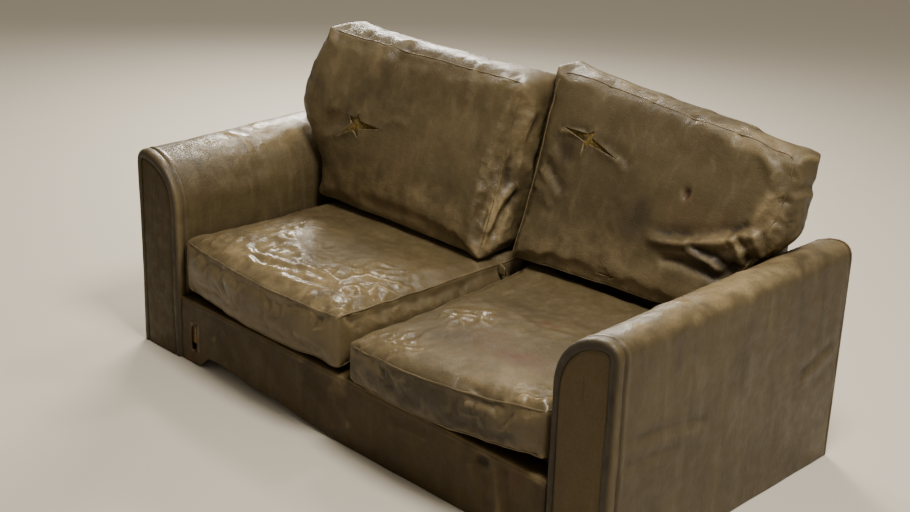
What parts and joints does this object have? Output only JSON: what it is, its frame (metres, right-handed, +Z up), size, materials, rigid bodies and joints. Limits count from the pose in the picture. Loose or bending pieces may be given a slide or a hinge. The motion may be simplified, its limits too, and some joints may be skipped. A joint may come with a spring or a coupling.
{
  "type": "torn sofa",
  "caption": "Two-seat leather sofa, worn, dirty and torn, with loose seat and back cushions slumped out of line between two box arms.",
  "frame": {"origin": "on the floor, under the middle of the sofa's width and depth", "axes": "+X along the seat towards the right arm as seen from the front, +Y from the seat's front edge to the back, +Z up"},
  "size_m": [1.812, 0.9928, 0.915],
  "materials": {
    "leather": "worn, glossy and dirty",
    "dark_leather": "worn and dirty",
    "foam": "open-cell foam, yellowed",
    "fibre_pad": "felted fibre",
    "hardwood": "rough sawn",
    "spring_steel": "drawn wire",
    "black_cloth": "woven",
    "black_plastic": "moulded",
    "zip_tape": "woven tape with a coil zip"
  },
  "bodies": {
    "root": {"arm_cover_left": "leather", "arm_cover_right": "leather", "arm_facing_left": "dark_leather", "arm_facing_right": "dark_leather", "arm_front_board_left": "hardwood", "arm_front_board_right": "hardwood", "arm_padding_left": "fibre_pad", "arm_padding_right": "fibre_pad", "arm_rear_post_left": "hardwood", "arm_rear_post_right": "hardwood", "arm_top_rail_left": "hardwood", "arm_top_rail_right": "hardwood", "back_cushion_left_cover": "leather", "back_cushion_left_filling": "foam", "back_cushion_left_zip": "zip_tape", "back_cushion_right_cover": "leather", "back_cushion_right_filling": "foam", "back_cushion_right_zip": "zip_tape", "back_post_left": "hardwood", "back_post_right": "hardwood", "back_rail": "hardwood", "back_side_cover_left": "leather", "back_side_cover_right": "leather", "back_top_rail": "hardwood", "back_webbing_1": "black_cloth", "back_webbing_2": "black_cloth", "back_webbing_3": "black_cloth", "centre_rail": "hardwood", "corner_block_front_left": "hardwood", "corner_block_front_right": "hardwood", "corner_block_rear_left": "hardwood", "corner_block_rear_right": "hardwood", "dust_cover": "black_cloth", "front_border_cover": "dark_leather", "front_rail": "hardwood", "glide_front_left": "black_plastic", "glide_front_right": "black_plastic", "glide_rear_left": "black_plastic", "glide_rear_right": "black_plastic", "inside_back_cover": "leather", "inside_back_padding": "fibre_pad", "outside_back_cover": "leather", "seat_cushion_left_cover": "leather", "seat_cushion_left_foam": "foam", "seat_cushion_left_zip": "zip_tape", "seat_cushion_right_cover": "leather", "seat_cushion_right_foam": "foam", "seat_cushion_right_zip": "zip_tape", "seat_deck_cloth": "black_cloth", "seat_deck_pad": "fibre_pad", "seat_spring_1": "spring_steel", "seat_spring_2": "spring_steel", "seat_spring_3": "spring_steel", "seat_spring_4": "spring_steel", "seat_spring_5": "spring_steel", "seat_spring_6": "spring_steel", "seat_spring_7": "spring_steel", "seat_spring_8": "spring_steel", "side_rail_left": "hardwood", "side_rail_right": "hardwood"}
  },
  "joints": []
}
